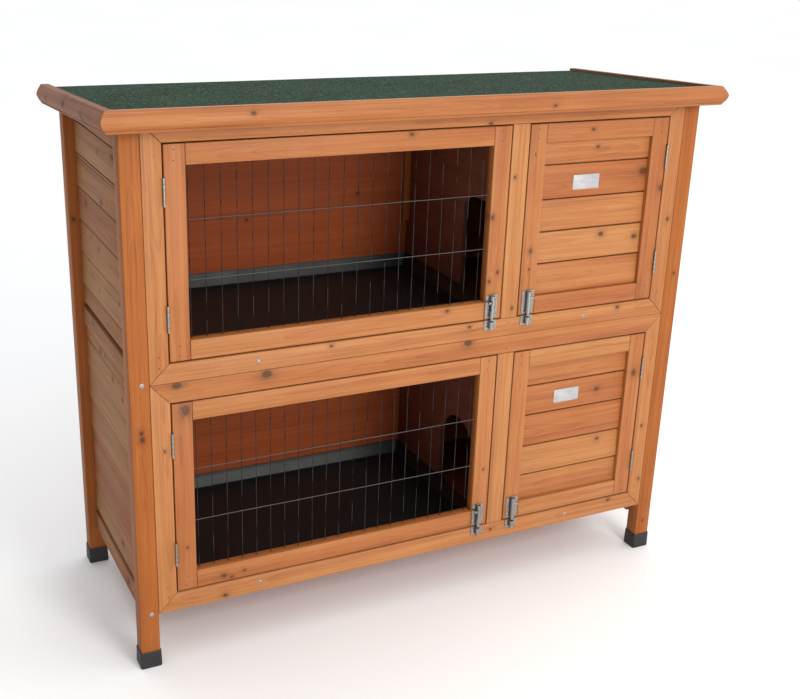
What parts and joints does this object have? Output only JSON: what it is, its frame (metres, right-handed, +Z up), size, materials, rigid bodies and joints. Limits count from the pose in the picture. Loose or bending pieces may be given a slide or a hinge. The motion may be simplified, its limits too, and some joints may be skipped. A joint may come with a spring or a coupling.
{
  "type": "two-storey timber rabbit hutch with wire-mesh doors",
  "caption": "Timber hutch on two floors, each with a wire-mesh run door and a boarded nest door on hinges with drop bolts, under a sloping felted roof on capped legs.",
  "frame": {"origin": "centre of the bounding box, at the underside of the feet", "axes": "+X along the front towards the nest side, +Y from the front to the back, +Z up"},
  "size_m": [1.234, 0.517, 1.0387],
  "materials": {
    "front_timber": "honey-stained fir, satin",
    "post_timber": "redder stained fir, satin",
    "side_timber": "stained fir boards, matt",
    "inner_timber": "red-brown stained plywood, matt",
    "roof_felt": "green mineral granules, rough",
    "black_plastic": "moulded, fine grain",
    "zinc": "bright zinc plate",
    "wire": "galvanised, dulled"
  },
  "bodies": {
    "root": {"post_front_left": "post_timber", "post_front_right": "post_timber", "post_back_left": "post_timber", "post_back_right": "post_timber", "foot_front_left": "black_plastic", "foot_front_right": "black_plastic", "foot_back_left": "black_plastic", "foot_back_right": "black_plastic", "side_boards_left_lower": "side_timber", "side_boards_left_upper": "side_timber", "side_boards_right_lower": "side_timber", "side_boards_right_upper": "side_timber", "side_rail_left_lower": "side_timber", "side_rail_left_upper": "side_timber", "side_rail_right_lower": "side_timber", "side_rail_right_upper": "side_timber", "front_frame_lower": "front_timber", "front_frame_upper": "front_timber", "back_panel_lower": "inner_timber", "back_panel_upper": "inner_timber", "floor_lower": "inner_timber", "floor_upper": "inner_timber", "partition_lower": "inner_timber", "partition_upper": "inner_timber", "tray_lower": "black_plastic", "tray_upper": "black_plastic", "roof_deck": "inner_timber", "roof_felt": "roof_felt", "fascia_front": "front_timber", "fascia_left": "front_timber", "fascia_right": "front_timber", "partition_batten": "side_timber", "latch_keeper_run_lower": "zinc", "latch_keeper_run_upper": "zinc", "latch_keeper_nest_lower": "zinc", "latch_keeper_nest_upper": "zinc", "hinge_run_lower_bottom": "zinc", "hinge_run_lower_top": "zinc", "hinge_run_upper_bottom": "zinc", "hinge_run_upper_top": "zinc", "hinge_nest_lower_bottom": "zinc", "hinge_nest_lower_top": "zinc", "hinge_nest_upper_bottom": "zinc", "hinge_nest_upper_top": "zinc"},
    "run_door_lower": {"run_door_frame_lower": "front_timber", "run_door_mesh_lower": "wire", "latch_plate_run_lower": "zinc"},
    "run_bolt_lower": {"latch_bolt_run_lower": "zinc"},
    "nest_door_lower": {"nest_door_frame_lower": "front_timber", "nest_door_boards_lower": "front_timber", "latch_plate_nest_lower": "zinc"},
    "nest_bolt_lower": {"latch_bolt_nest_lower": "zinc"},
    "run_door_upper": {"run_door_frame_upper": "front_timber", "run_door_mesh_upper": "wire", "latch_plate_run_upper": "zinc"},
    "run_bolt_upper": {"latch_bolt_run_upper": "zinc"},
    "nest_door_upper": {"nest_door_frame_upper": "front_timber", "nest_door_boards_upper": "front_timber", "latch_plate_nest_upper": "zinc"},
    "nest_bolt_upper": {"latch_bolt_nest_upper": "zinc"}
  },
  "joints": [
    {"name": "run_door_swing_lower", "type": "hinge", "parent": "root", "child": "run_door_lower", "pos_m": [-0.51125, -0.2199, 0.3375], "axis": [0, 0, -1], "range_deg": [0, 175]},
    {"name": "run_bolt_slide_lower", "type": "slide", "parent": "run_door_lower", "child": "run_bolt_lower", "axis": [0, 0, -1], "range_m": [0, 0.014]},
    {"name": "nest_door_swing_lower", "type": "hinge", "parent": "root", "child": "nest_door_lower", "pos_m": [0.51125, -0.2199, 0.3375], "axis": [0, 0, 1], "range_deg": [0, 175]},
    {"name": "nest_bolt_slide_lower", "type": "slide", "parent": "nest_door_lower", "child": "nest_bolt_lower", "axis": [0, 0, -1], "range_m": [0, 0.014]},
    {"name": "run_door_swing_upper", "type": "hinge", "parent": "root", "child": "run_door_upper", "pos_m": [-0.51125, -0.2199, 0.79], "axis": [0, 0, -1], "range_deg": [0, 175]},
    {"name": "run_bolt_slide_upper", "type": "slide", "parent": "run_door_upper", "child": "run_bolt_upper", "axis": [0, 0, -1], "range_m": [0, 0.014]},
    {"name": "nest_door_swing_upper", "type": "hinge", "parent": "root", "child": "nest_door_upper", "pos_m": [0.51125, -0.2199, 0.79], "axis": [0, 0, 1], "range_deg": [0, 175]},
    {"name": "nest_bolt_slide_upper", "type": "slide", "parent": "nest_door_upper", "child": "nest_bolt_upper", "axis": [0, 0, -1], "range_m": [0, 0.014]}
  ]
}
